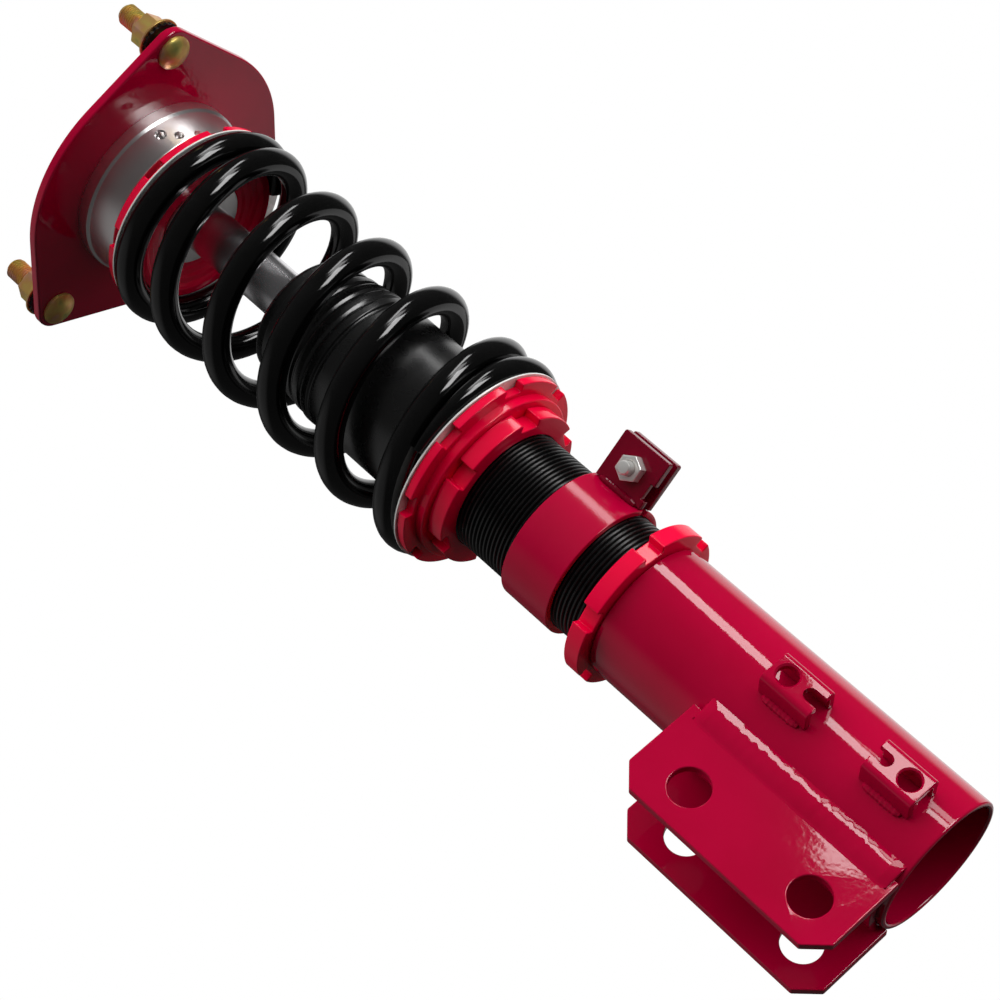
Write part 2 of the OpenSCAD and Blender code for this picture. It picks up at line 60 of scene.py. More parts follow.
SLOT_OF = {s["node"]: s["material_slot"] for s in RECORD["subparts"]}

STRUT_H = 459.0
TO_FRAME = Matrix.Scale(0.001, 4) @ Matrix.Translation((0, 0, -STRUT_H))

THREAD_R = 27.5
THREAD_ROOT_R = 26.4
THREAD_PITCH = 2.0
RING_BORE_R = 27.58

# ---------------------------------------------------------------- flat outlines


def polar(r, degrees, z=None):
    """A point at a radius and a direction, flat or at a height."""
    a = math.radians(degrees)
    flat = (r * math.cos(a), r * math.sin(a))
    return flat if z is None else (*flat, z)


def arc(centre, r, start, end, count):
    """Points on an arc, from start to end in degrees, both included."""
    steps = (start + (end - start) * i / (count - 1) for i in range(count))
    return [(centre[0] + x, centre[1] + y) for x, y in (polar(r, s) for s in steps)]


def rounded(points, radius, steps=4):
    """A closed outline with each corner filleted; a point's third number is its own radius."""
    out = []
    for i, point in enumerate(points):
        here = Vector(point[:2])
        r = point[2] if len(point) > 2 else radius
        before = Vector(points[i - 1][:2]) - here
        after = Vector(points[(i + 1) % len(points)][:2]) - here
        half = before.angle(after) / 2
        if r <= 0 or half > math.radians(88):
            out.append(tuple(here))
            continue
        reach = min(r / math.tan(half), 0.49 * before.length, 0.49 * after.length)
        r = reach * math.tan(half)
        middle = here + (before.normalized() + after.normalized()).normalized() * r / math.sin(half)
        a = here + before.normalized() * reach - middle
        b = here + after.normalized() * reach - middle
        turn = a.angle_signed(b)
        for k in range(steps + 1):
            out.append(tuple(middle + Matrix.Rotation(-turn * k / steps, 2) @ a))
    return out


def area(loop):
    """Signed area of a closed outline, positive when it runs anticlockwise."""
    return sum(a[0] * b[1] - b[0] * a[1] for a, b in zip(loop, loop[1:] + loop[:1])) / 2


def inset(loop, d):
    """The outline moved by d towards its left side."""
    out = []
    for i, here in enumerate(loop):
        here = Vector(here)
        a = (here - Vector(loop[i - 1])).normalized()
        b = (Vector(loop[(i + 1) % len(loop)]) - here).normalized()
        na, nb = Vector((-a.y, a.x)), Vector((-b.y, b.x))
        out.append(tuple(here + d * (na + nb) / max(1 + na.dot(nb), 0.3)))
    return out


def notched(outer_r, count, first, width=9.0, depth=4.0, corner=0.5):
    """A round outline with straight-sided notches cut into its rim."""
    half = math.degrees(math.asin(width / 2 / outer_r))
    floor_r = math.hypot(outer_r - depth, width / 2)
    floor_half = math.degrees(math.atan2(width / 2, outer_r - depth))
    pitch = 360 / count
    out = []
    for i in range(count):
        a = first + i * pitch
        out.append((*polar(floor_r, a + floor_half), corner))
        out.append((*polar(outer_r, a + half), corner))
        steps = round((pitch - 2 * half) / 3)
        for k in range(1, steps):
            out.append((*polar(outer_r, a + half + (pitch - 2 * half) * k / steps), 0))
        out.append((*polar(outer_r, a + pitch - half), corner))
        out.append((*polar(floor_r, a + pitch - floor_half), corner))
    return rounded(out, 0, 3)


def circle(r, count=128, centre=(0, 0)):
    """A round outline."""
    return arc(centre, r, 0, 360 - 360 / count, count)


# ---------------------------------------------------------------- shapes


def thread_keys(z0, z1, major, minor, pitch, turn):
    """The profile of a right-hand outer thread in the half-plane turn turns around."""
    knots = ((0.0, minor), (0.12, minor), (0.42, major), (0.7, major), (1.0, minor))

    def radius(z):
        phase = ((z - z0) / pitch - turn) % 1
        for (f0, r0), (f1, r1) in zip(knots, knots[1:]):
            if phase <= f1:
                return r0 + (r1 - r0) * (phase - f0) / (f1 - f0)
        return minor

    keys = []
    for k in range(-1, int((z1 - z0) / pitch) + 1):
        for f, r in knots[:-1]:
            z = z0 + (k + f + turn) * pitch
            if z <= z0:
                keys.append((radius(z0), z0))
            elif z >= z1:
                keys.append((radius(z1), z1))
            else:
                keys.append((r, z))
    return keys


class Shape:
    """Closed shells collected into one piece."""

    def __init__(self):
        self.bm = bmesh.new()

    def add(self, verts, faces, matrix=None, weld=True):
        """Adds one closed shell."""
        matrix = matrix or Matrix.Identity(4)
        new = [self.bm.verts.new(matrix @ Vector(v)) for v in verts]
        made = []
        for face in faces:
            made.append(self.bm.faces.new([new[i] for i in face]))
        if weld:
            bmesh.ops.remove_doubles(self.bm, verts=new, dist=0.0005)
        bmesh.ops.recalc_face_normals(self.bm, faces=[f for f in made if f.is_valid])
        return self

    def turned(self, profile, segments=128, matrix=None):
        """A lathe shape from a closed (r, z) profile; an item of five numbers is a thread."""
        columns = []
        for i in range(segments + 1):
            turn = i / segments
            column = []
            for item in profile:
                column += thread_keys(*item, turn) if len(item) == 5 else [item]
            columns.append([(*polar(r, 360 * (i % segments) / segments), z) for r, z in column])
        n = len(columns[0])
        verts = [v for column in columns for v in column]
        faces = [
            (i * n + k, i * n + (k + 1) % n, (i + 1) * n + (k + 1) % n, (i + 1) * n + k)
            for i in range(segments)
            for k in range(n)
        ]
        return self.add(verts, faces, matrix)

    def prism(self, outer, holes, z0, z1, edge=0.4, matrix=None, steps=3):
        """A plate between z0 and z1 with rounded edges and any number of holes."""
        loops = [outer if area(outer) > 0 else outer[::-1]]
        loops += [h if area(h) < 0 else h[::-1] for h in holes]
        levels = []
        for k in range(steps + 1):
            a = math.radians(90 * k / steps)
            levels.append((edge * (1 - math.sin(a)), z0 + edge * (1 - math.cos(a))))
        levels += [(d, z0 + z1 - z) for d, z in reversed(levels)]
        verts, faces, caps = [], [], [[], []]
        for loop in loops:
            n, start = len(loop), len(verts)
            for d, z in levels:
                verts += [(x, y, z) for x, y in inset(loop, d)]
            for level in range(len(levels) - 1):
                a = start + level * n
                faces += [(a + k, a + (k + 1) % n, a + n + (k + 1) % n, a + n + k) for k in range(n)]
            caps[0].append(range(start, start + n))
            caps[1].append(range(len(verts) - n, len(verts)))
        for cap in caps:
            index = [i for loop in cap for i in loop]
            flat = [[Vector(verts[i]) for i in loop] for loop in cap]
            faces += [tuple(index[i] for i in tri) for tri in tessellate_polygon(flat)]
        return self.add(verts, faces, matrix, weld=False)

    def bead(self, start, end, width, height, ripple=0.0, normal=(0, 0, 1), seed=0):
        """A weld bead: a rounded, slightly rippled ridge from start to end."""
        start, end, normal = Vector(start), Vector(end), Vector(normal).normalized()
        along = (end - start).normalized()
        across = along.cross(normal)
        length = (end - start).length
        rings, sides = max(int(length / 0.6), 10), 14
        verts, faces = [start - along * 0.01], []
        for i in range(1, rings):
            t = i / rings
            swell = (1 - abs(2 * t - 1) ** 6) ** 0.5
            wave = 1 + ripple * math.sin(i * 1.9) + ripple * noise.noise((seed, 7 * t, 0))
            for k in range(sides):
                a = 2 * math.pi * k / sides
                offset = across * width / 2 * math.cos(a) + normal * height * math.sin(a)
                verts.append(start + along * length * t + offset * swell * wave)
        verts.append(end + along * 0.01)
        for k in range(sides):
            n = (k + 1) % sides
            faces.append((0, 1 + n, 1 + k))
            for i in range(rings - 2):
                a = 1 + i * sides
                faces.append((a + k, a + n, a + sides + n, a + sides + k))
            a = 1 + (rings - 2) * sides
            faces.append((a + k, a + n, len(verts) - 1))
        return self.add(verts, faces, weld=False)

    def finish(self, node, material, sharp=33, ride=True):
        """Makes the piece, which stands for a CAD node and, when ride is set, rides on its body."""
        mesh = bpy.data.meshes.new(f"{node}_form")
        self.bm.to_mesh(mesh)
        self.bm.free()
        mesh.transform(TO_FRAME)
        piece = bpy.data.objects.new(mesh.name, mesh)
        bpy.context.scene.collection.objects.link(piece)
        mesh.materials.append(material)
        mesh.shade_smooth()
        mesh.set_sharp_from_angle(angle=math.radians(sharp))
        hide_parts(node)
        if ride:
            flatten_faces(piece)
            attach(piece, BODY_OF[node])
        return piece

    def cut(self, cutter):
        """Takes another shape away from this one."""
        meshes = []
        for shape in (self, cutter):
            mesh = bpy.data.meshes.new("cutting")
            shape.bm.to_mesh(mesh)
            meshes.append(bpy.data.objects.new("cutting", mesh))
            bpy.context.scene.collection.objects.link(meshes[-1])
        body, tool = meshes
        modifier = body.modifiers.new("cut", "BOOLEAN")
        modifier.operation = "DIFFERENCE"
        modifier.solver = "EXACT"
        modifier.object = tool
        evaluated = body.evaluated_get(bpy.context.evaluated_depsgraph_get())
        self.bm.clear()
        self.bm.from_mesh(evaluated.to_mesh())
        for made in meshes:
            data = made.data
            bpy.data.objects.remove(made)
            bpy.data.meshes.remove(data)
        cutter.bm.free()
        return self


def flatten_faces(piece):
    """Shades flat faces flat and keeps the smooth bend to their rounded edges."""
    piece.modifiers.new("flat_faces", "WEIGHTED_NORMAL").keep_sharp = True
    evaluated = piece.evaluated_get(bpy.context.evaluated_depsgraph_get())
    shaded = bpy.data.meshes.new_from_object(evaluated)
    piece.modifiers.clear()
    rough, name = piece.data, piece.data.name
    piece.data = shaded
    bpy.data.meshes.remove(rough)
    shaded.name = name


def lay(z=0.0, degrees=0.0, out=0.0, lean=None):
    """Places a shape at a height and a direction around the axis; lean turns its own axis."""
    matrix = Matrix.Rotation(math.radians(degrees), 4, "Z") @ Matrix.Translation((out, 0, z))
    return matrix @ lean if lean else matrix


TO_MINUS_Y = Matrix.Rotation(math.radians(90), 4, "X")
TO_PLUS_X = Matrix.Rotation(math.radians(90), 4, "Y")

# ---------------------------------------------------------------- materials


NOISE_LOW, NOISE_HIGH = 0.3, 0.7


class Nodes:
    """Small helper that wires a material's nodes."""

    def __init__(self, name, base, metallic, roughness, **sockets):
        self.material = bpy.data.materials.new(name)
        self.material.use_nodes = True
        self.tree = self.material.node_tree
        self.shader = self.tree.nodes["Principled BSDF"]
        self.shader.inputs["Base Color"].default_value = (*base, 1)
        self.shader.inputs["Metallic"].default_value = metallic
        self.shader.inputs["Roughness"].default_value = roughness
        for socket, value in sockets.items():
            self.shader.inputs[socket.replace("_", " ")].default_value = value
        self.place = self.new("ShaderNodeTexCoord").outputs["Object"]

    def new(self, kind, **settings):
        node = self.tree.nodes.new(kind)
        for key, value in settings.items():
            setattr(node, key, value)
        return node

    def link(self, output, node, socket):
        self.tree.links.new(output, node.inputs[socket])

    def math(self, operation, a, b=0.0):
        node = self.new("ShaderNodeMath", operation=operation)
        for socket, value in enumerate((a, b)):
            if isinstance(value, (int, float)):
                node.inputs[socket].default_value = value
            else:
                self.link(value, node, socket)
        return node.outputs[0]

    def noise(self, per_metre, detail=2.0, stretch=(1, 1, 1)):
        """Noise with a given number of cells to the metre."""
        mapping = self.new("ShaderNodeMapping")
        mapping.inputs["Scale"].default_value = stretch
        self.link(self.place, mapping, "Vector")
        texture = self.new("ShaderNodeTexNoise")
        texture.inputs["Scale"].default_value = per_metre
        texture.inputs["Detail"].default_value = detail
        self.link(mapping.outputs[0], texture, "Vector")
        return texture.outputs["Fac"]

    def turning_lines(self, per_metre):
        """Fine lathe marks: rings around the strut's axis, on flat faces and on round ones."""
        split = self.new("ShaderNodeSeparateXYZ")
        self.link(self.place, split, "Vector")
        x, y, z = split.outputs
        squares = self.math("MULTIPLY", x, x), self.math("MULTIPLY", y, y)
        across = self.math("SQRT", self.math("ADD", *squares))
        texture = self.new("ShaderNodeTexNoise", noise_dimensions="1D")
        texture.inputs["Scale"].default_value = per_metre
        texture.inputs["Detail"].default_value = 3.0
        self.link(self.math("ADD", across, z), texture, "W")
        return texture.outputs["Fac"]

    def between(self, factor, low, high):
        """A noise's usual span, stretched to low..high."""
        node = self.new("ShaderNodeMapRange")
        node.inputs["From Min"].default_value = NOISE_LOW
        node.inputs["From Max"].default_value = NOISE_HIGH
        node.inputs["To Min"].default_value = low
        node.inputs["To Max"].default_value = high
        self.link(factor, node, "Value")
        return node.outputs[0]

    def colours(self, factor, *stops):
        """A colour ramp from (position, colour) stops."""
        ramp = self.new("ShaderNodeValToRGB")
        elements = ramp.color_ramp.elements
        while len(elements) < len(stops):
            elements.new(0.5)
        for element, (position, colour) in zip(elements, stops):
            element.position = position
            element.color = (*colour, 1)
        self.link(factor, ramp, "Fac")
        return ramp.outputs["Color"]

    def shades(self, factor, dull, bright):
        """A colour that drifts between two shades over a noise's usual span."""
        return self.colours(factor, (NOISE_LOW, dull), (NOISE_HIGH, bright))

    def bumps(self, *layers):
        """Bump from (height, strength, depth in metres) layers, stacked."""
        last = None
        for height, strength, depth in layers:
            node = self.new("ShaderNodeBump")
            node.inputs["Strength"].default_value = strength
            node.inputs["Distance"].default_value = depth
            self.link(height, node, "Height")
            if last:
                self.link(last, node, "Normal")
            last = node.outputs[0]
        self.link(last, self.shader, "Normal")
        if self.shader.inputs["Coat Weight"].default_value > 0:
            self.link(last, self.shader, "Coat Normal")

    def use(self, output, socket):
        self.link(output, self.shader, socket)


def red_paint(name="red_paint", depth=1.0, coat=1.0, dullness=0.05):
    """Paint under a clear layer; depth scales its brightness, and the clamp tabs' darker copy is painted
    shade; dullness is the layer's roughness.
    """
    layer = {"Specular_IOR_Level": 0.0, "Coat_Weight": coat, "Coat_Roughness": dullness}
    m = Nodes(name, (0.46, 0, 0.034), 0.0, 0.38, **layer)
    dull = (0.43 * depth, 0.0001 * depth, 0.030 * depth)
    bright = (0.49 * depth, 0.0003 * depth, 0.038 * depth)
    m.use(m.shades(m.noise(30, 3), dull, bright), "Base Color")
    m.use(m.between(m.noise(200, 2), 0.34, 0.42), "Roughness")
    m.bumps((m.noise(90, 1), 0.1, 0.0002), (m.noise(420, 1), 0.25, 0.00006))
    return m.material


def red_anodised():
    layer = {"Specular_IOR_Level": 0.0, "Coat_Weight": 0.7, "Coat_Roughness": 0.12}
    m = Nodes("red_anodised", (0.92, 0, 0.048), 0.0, 0.3, **layer)
    lines = m.turning_lines(4000)
    m.use(m.shades(m.noise(50, 2), (0.88, 0, 0.042), (0.95, 0, 0.052)), "Base Color")
    m.use(m.between(lines, 0.2, 0.28), "Roughness")
    m.bumps((lines, 0.1, 0.00004))
    return m.material


def machined_aluminium():
    m = Nodes("machined_aluminium", (0.88, 0.86, 0.85), 1.0, 0.32)
    lines = m.turning_lines(3000)
    m.use(m.shades(m.noise(60, 2), (0.85, 0.83, 0.82), (0.92, 0.90, 0.89)), "Base Color")
    m.use(m.between(lines, 0.28, 0.34), "Roughness")
    m.bumps((lines, 0.05, 0.00002))
    return m.material


def steel(name, base, low, high, per_metre=900.0, bump=0.05, lines=False, metallic=1.0):
    """Bare or plated steel with uneven gloss."""
    m = Nodes(name, base, metallic, (low + high) / 2)
    grain = m.turning_lines(6000) if lines else m.noise(per_metre, 2)
    dull = tuple(c * 0.9 for c in base)
    m.use(m.shades(m.noise(90, 2), dull, base), "Base Color")
    m.use(m.between(grain, low, high), "Roughness")
    m.bumps((grain, bump, 0.00002))
    return m.material


def yellow_zinc():
    m = Nodes("yellow_zinc", (0.7, 0.5, 0.17), 0.7, 0.38)
    film = m.noise(110, 2)
    green, gold, orange, pink = (0.5, 0.5, 0.14), (0.8, 0.6, 0.16), (0.8, 0.46, 0.15), (0.82, 0.45, 0.32)
    m.use(m.colours(film, (0.28, green), (0.42, gold), (0.54, orange), (0.66, pink)), "Base Color")
    m.use(m.between(m.noise(700, 2), 0.34, 0.48), "Roughness")
    m.bumps((m.noise(900, 2), 0.06, 0.00003))
    return m.material


def black_gloss():
    m = Nodes("black_gloss", (0.0035, 0.0033, 0.0035), 0.0, 0.11)
    m.use(m.shades(m.noise(80, 2), (0.003,) * 3, (0.0045,) * 3), "Base Color")
    m.use(m.between(m.noise(150, 2), 0.09, 0.13), "Roughness")
    m.bumps((m.noise(60, 1), 0.03, 0.0001))
    return m.material


def black_thread():
    m = Nodes("black_thread", (0.003, 0.003, 0.003), 0.0, 0.3)
    m.use(m.shades(m.noise(200, 2), (0.0025,) * 3, (0.0045,) * 3), "Base Color")
    m.use(m.between(m.noise(500, 2), 0.26, 0.36), "Roughness")
    m.bumps((m.noise(900, 2), 0.06, 0.00002))
    return m.material


def rubber(name, base=0.004, low=0.25, high=0.31):
    m = Nodes(name, (base, base, base), 0.0, (low + high) / 2, Specular_IOR_Level=0.9)
    m.use(m.shades(m.noise(40, 3), (base * 0.85,) * 3, (base * 1.3,) * 3), "Base Color")
    m.use(m.between(m.noise(120, 2), low, high), "Roughness")
    m.bumps((m.noise(700, 2), 0.06, 0.00003))
    return m.material


def matte(name, base):
    m = Nodes(name, base, 0.0, 0.6)
    m.use(m.shades(m.noise(300, 3), tuple(c * 0.85 for c in base), base), "Base Color")
    m.bumps((m.noise(900, 2), 0.15, 0.0001))
    return m.material


MATERIALS = {
    "red_paint": red_paint(),
    "satin_red_paint": red_paint("satin_red_paint", 1.08, 0.7, 0.13),
    # Painted shade: the clamp tabs wear the collar's red paint darkened to 0.4 of its brightness.
    "shade_darkened_red_paint": red_paint("shade_darkened_red_paint", 0.4, 1.0, 0.1),
    "red_anodised": red_anodised(),
    "machined_aluminium": machined_aluminium(),
    "bright_steel": steel("bright_steel", (0.62, 0.62, 0.63), 0.16, 0.3),
    "hard_chrome": steel("hard_chrome", (0.88, 0.86, 0.88), 0.24, 0.27, 60.0, 0.0),
    "silver_zinc": steel("silver_zinc", (0.86, 0.85, 0.83), 0.16, 0.24, 300.0, 0.02, metallic=0.8),
    "bright_zinc": steel("bright_zinc", (0.9, 0.89, 0.86), 0.16, 0.24, 300.0, 0.02, metallic=0.5),
    "pale_zinc": steel("pale_zinc", (0.95, 0.94, 0.91), 0.22, 0.3, 300.0, 0.02, metallic=0.1),
    "yellow_zinc": yellow_zinc(),
    "black_oxide": steel("black_oxide", (0.05, 0.05, 0.055), 0.3, 0.5),
    "black_gloss": black_gloss(),
    "black_thread": black_thread(),
    "boot_rubber": rubber("boot_rubber"),
    "seal_rubber": rubber("seal_rubber", 0.01),
    "bronze_ptfe": matte("bronze_ptfe", (0.15, 0.10, 0.045)),
    "urethane": matte("urethane", (0.55, 0.43, 0.18)),
    "brass": steel("brass", (0.70, 0.50, 0.20), 0.2, 0.35),
}

for name, node in frame["nodes"].items():
    for used in node.material_slots:
        used.material = MATERIALS[SLOT_OF[name]]

# ---------------------------------------------------------------- top mount

PLATE_Z, PLATE_T, PLATE_R, LOBE_R = 454.6, 4.4, 66.3, 10.2
STUD_R, LONE_STUD, STUD_SPREAD = 69.5, 219.4, 68.4
STUD_L, NUT_LIFT, NUT_H = 28.0, 4.9, 10.6
HOUSING_HOLES = ((91, 443), (99.9, 438.3), (111.8, 435.2))
STUD_ANGLES = (LONE_STUD, LONE_STUD + 180 - STUD_SPREAD, LONE_STUD + 180 + STUD_SPREAD)


def hull_reach(big, big_r, small, small_r, direction):
    """How far the hull of two circles reaches from the origin in a direction."""
    best = 0.0
    for centre, r in ((big, big_r), (small, small_r)):
        along = centre.dot(direction)
        inside = r * r - (centre.length_squared - along * along)
        if inside > 0:
            best = max(best, along + math.sqrt(inside))
    line = small - big
    tilt = math.acos((big_r - small_r) / line.length)
    for side in (-1, 1):
        normal = Matrix.Rotation(side * tilt, 2) @ line.normalized()
        a, b = big + normal * big_r, small + normal * small_r
        edge = b - a
        cross = direction.x * edge.y - direction.y * edge.x
        if abs(cross) > 1e-9:
            t = (a.x * edge.y - a.y * edge.x) / cross
            u = (a.x * direction.y - a.y * direction.x) / cross
            if t > 0 and 0 <= u <= 1:
                best = max(best, t)
    return best


def plate_outline():
    centre = Vector(polar(2.0, LONE_STUD))
    lobes = [Vector(polar(STUD_R, a)) for a in STUD_ANGLES]
    out = []
    for i in range(540):
        direction = Vector(polar(1, i * 360 / 540))
        reach = max(hull_reach(centre, PLATE_R, lobe, LOBE_R, direction) for lobe in lobes)
        out.append(tuple(direction * reach))
    return out


def build_top_plate():
    shape = Shape()
    shape.prism(plate_outline(), [circle(22.0, 96)], PLATE_Z, PLATE_Z + PLATE_T, edge=0.9)
    shape.finish("top_plate", MATERIALS["red_paint"])


def hex_profile(af):
    return [polar(af / math.sqrt(3), 60 * k) for k in range(6)]


def hex_body(shape, af, bore, z0, z1, matrix, chamfer=0.6):
    """A hexagon with rounded edges and a round bore."""
    shape.prism(rounded(hex_profile(af), 0.5, 3), [circle(bore, 48)], z0, z1, chamfer, matrix)


def build_studs():
    studs, washers, nuts = Shape(), Shape(), Shape()
    flange = STRUT_H + NUT_LIFT
    top = STRUT_H + STUD_L
    for a in STUD_ANGLES:
        here = lay(0, a, STUD_R)
        head = [(0, PLATE_Z - 3.4), (2.5, PLATE_Z - 3.35), (4.6, PLATE_Z - 3.0), (6.3, PLATE_Z - 2.3)]
        head += [(7.3, PLATE_Z - 1.6), (7.8, PLATE_Z - 1.0), (7.9, PLATE_Z - 0.02)]
        shank = [(5.2, PLATE_Z - 0.02), (5.2, STRUT_H), (4.3, STRUT_H + 0.4)]
        thread = [(STRUT_H + 0.8, top - 1.2, 4.97, 4.3, 1.25)]
        tip = [(4.3, top - 0.9), (3.9, top), (0, top)]
        studs.turned(head + shank + thread + tip, 48, here)
        teeth = [polar(9.4 if k % 2 else 8.6, 9 * k) for k in range(40)]
        washers.prism(teeth, [circle(5.05, 48)], flange - 1.6, flange - 0.05, 0.2, here, 2)
        rim = [(5.05, flange), (9.9, flange), (10.1, flange + 0.2), (10.1, flange + 0.9)]
        rim += [(9.7, flange + 1.3), (7.6, flange + 2.4), (5.05, flange + 2.4)]
        nuts.turned(rim, 64, here)
        hex_body(nuts, 14.0, 5.05, flange + 1.4, flange + NUT_H, here, 0.9)
    studs.finish("tower_studs", MATERIALS["yellow_zinc"])
    washers.finish("stud_washers", MATERIALS["black_oxide"])
    nuts.finish("stud_nuts", MATERIALS["yellow_zinc"])


def build_bearing_housing():
    z = PLATE_Z - 20.6
    profile = [
        (16.5, z + 3.4, 0.5), (24, z, 0.6), (39, z, 0.8), (40.8, z + 14.1, 0.2), (41.8, z + 15.1, 0.15),
        (41.8, z + 20.58, 0.1), (19.02, z + 20.58, 0), (19.02, z + 7.9, 0), (16.5, z + 7.9, 0.3),
    ]
    shape = Shape().turned(rounded(profile, 0.3, 3), 192)
    holes = Shape()
    for direction, height in HOUSING_HOLES:
        here = lay(height, direction, 36.5, TO_PLUS_X)
        holes.turned([(0, 0), (2.1, 0), (2.1, 3.1), (2.7, 3.8), (2.7, 8), (0, 8)], 32, here)
    shape.cut(holes).finish("bearing_housing", MATERIALS["machined_aluminium"])


# ---------------------------------------------------------------- rod and upper seat

COLLAR_Z = 422.72
HIGH_FLANGE_Z = 425.62


def build_rod():
    top, foot, shoulder = 480.0, 279.0, 424.3
    shape = Shape().turned(
        [(3.05, 246), (5.8, 246), (6, 246.3), (6, foot), (10.6, foot), (11, foot + 0.6)]
        + [(11, shoulder - 0.6), (10.5, shoulder), (6.95, shoulder), (6.95, 456)]
        + [(457, top - 1.4, 6.97, 6.1, 1.5), (6.0, top - 0.9), (5.6, top), (3.05, top)],
        96,
    )
    shape.finish("piston_rod", MATERIALS["hard_chrome"])
    nut = Shape()
    nut.turned([(7.05, 460.05), (10.6, 460.05), (10.9, 460.5), (7.05, 460.5)], 64)
    hex_body(nut, 22.0, 7.05, 460.3, 471.0, Matrix.Identity(4), 1.0)
    nut.finish("rod_top_nut", MATERIALS["silver_zinc"])
    washer = Shape().turned(rounded([(7.1, 457.65), (12, 457.65), (12, 460.0), (7.1, 460.0)], 0.3), 96)
    washer.finish("rod_top_washer", MATERIALS["silver_zinc"])


def build_collar():
    z = COLLAR_Z
    profile = [
        (7.05, z + 1.65, 0), (11.05, z + 1.65, 0), (11.05, z, 0.3), (20.3, z, 0.5),
        (20.3, z + 2.88, 0.4), (12, z + 2.88, 0), (12, z + 6.8, 0.4), (9.2, z + 7.8, 0.4),
        (9.2, z + 13.65, 0.3), (7.05, z + 13.65, 0),
    ]
    Shape().turned(rounded(profile, 0, 3), 128).finish("rod_collar", MATERIALS["machined_aluminium"])


def build_upper_seat():
    z = HIGH_FLANGE_Z
    shape = Shape()
    shape.prism(notched(45.0, 8, 26), [circle(33.0)], z, z + 4.0, 0.45)
    dish = [
        (12.05, z + 0.01, 0), (20.6, z + 0.01, 0), (20.6, z - 2.2, 0.3), (23, z - 2.4, 0.3),
        (24, z - 3.2, 0.3), (26.5, z - 3.4, 0.3), (27.5, z - 4.4, 0.3), (30, z - 4.6, 0.3),
        (31, z - 5.6, 0.3), (32, z - 6.2, 0.5), (35.8, z - 6.2, 0.8), (35.8, z + 0.5, 0),
        (33.5, z + 3.9, 0.3), (12.05, z + 3.9, 0.2),
    ]
    shape.turned(rounded(dish, 0, 3), 160)
    shape.finish("upper_spring_seat", MATERIALS["red_anodised"])
    ring_washer(424.71, "upper_seat_washer")


def ring_washer(z, node):
    profile = rounded([(35.95, z), (45.85, z), (45.85, z + 0.88), (35.95, z + 0.88)], 0.25, 2)
    Shape().turned(profile, 160).finish(node, MATERIALS["pale_zinc"])


# ---------------------------------------------------------------- spring

WIRE_R, COIL_R, SPRING_Z, SPRING_AZ = 6.0, 42.2, 245.4, 1.5
RISE, FALL, FREE_TURNS, LOW_TURNS, HIGH_TURNS = 37.05, 0.71, 4.73, 0.86, 0.8
SPRING_RISE = RISE * FREE_TURNS - FALL * FREE_TURNS**2 / 2
LOW_BEND, HIGH_BEND, END_GAP = 0.16, 0.3, 0.4


def bend(x, soft):
    """Zero below -soft, x above soft, and a smooth bend between them."""
    if abs(x) > soft:
        return max(x, 0.0)
    return (x + soft) ** 2 / (4 * soft)


def coil_height(turn):
    """How far the wire has risen, counted in turns from where its lower end starts to rise."""
    u = FREE_TURNS - bend(FREE_TURNS - bend(turn, LOW_BEND), HIGH_BEND)
    return RISE * u - FALL * u * u / 2


def wire_height(turn):
    """Height of the wire's section: an end is tapered where the next coil closes on it."""
    here = coil_height(turn)
    gap = max(coil_height(turn + 1) - here, here - coil_height(turn - 1))
    return min(2 * WIRE_R, gap - END_GAP)


def wire_centre(turn):
    """Middle of the wire, whose tapered ends stay flush with the seats."""
    end = -1 if turn < FREE_TURNS / 2 else 1
    z = SPRING_Z + WIRE_R + coil_height(turn) + end * (WIRE_R - wire_height(turn) / 2)
    return Vector(polar(COIL_R, SPRING_AZ + 360 * turn, z))


def squeeze(turn):
    """Share of the damper's travel that a turn takes; the closed ends keep their shape."""
    closed, soft = 2 * WIRE_R, 6
    free = SPRING_RISE - 2 * closed
    return (free - bend(free - bend(coil_height(turn) - closed, soft), soft)) / free


def build_spring():
    """The wire, whose cross-sections keep their shape along the coils; each ring's share of the squeeze is
    worked out but not used.
    """
    per_turn, sides, bevels = 96, 24, (0.6, 0.18)
    total = LOW_TURNS + FREE_TURNS + HIGH_TURNS
    count = round(total * per_turn)
    turns = [total * i / count - LOW_TURNS for i in range(count + 1)]
    centres = [wire_centre(t) for t in turns]
    rings = [(0, b, -b) for b in bevels] + [(i, 0.0, 0.0) for i in range(1, count)]
    rings += [(count, b, b) for b in reversed(bevels)]
    verts, share = [], []
    for i, trim, outward in rings:
        along = (centres[min(i + 1, count)] - centres[max(i - 1, 0)]).normalized()
        out = Vector((centres[i].x, centres[i].y, 0)).normalized()
        up = out.cross(along).normalized() * -1
        middle = centres[i] + along * outward * 0.7
        flat = wire_height(turns[i]) / (2 * WIRE_R)
        r = WIRE_R - trim
        for k in range(sides):
            a = 2 * math.pi * k / sides
            verts.append(middle + out * r * math.cos(a) + up * r * flat * math.sin(a))
            share.append(1 - squeeze(turns[i]))
    last = len(verts) - sides
    faces = [tuple(range(sides)), tuple(range(last, last + sides))]
    for i in range(len(rings) - 1):
        for k in range(sides):
            a, b = i * sides + k, i * sides + (k + 1) % sides
            faces.append((a, b, b + sides, a + sides))
    shape = Shape().add(verts, faces, weld=False)
    spring = shape.finish("main_spring", MATERIALS["black_gloss"], 40, False)
    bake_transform(spring)


# ---------------------------------------------------------------- lower seat and rings

SEAT_LOCK_Z, LOCK_H = 228.4, 7.7
SEAT_Z = SEAT_LOCK_Z + LOCK_H + 0.15


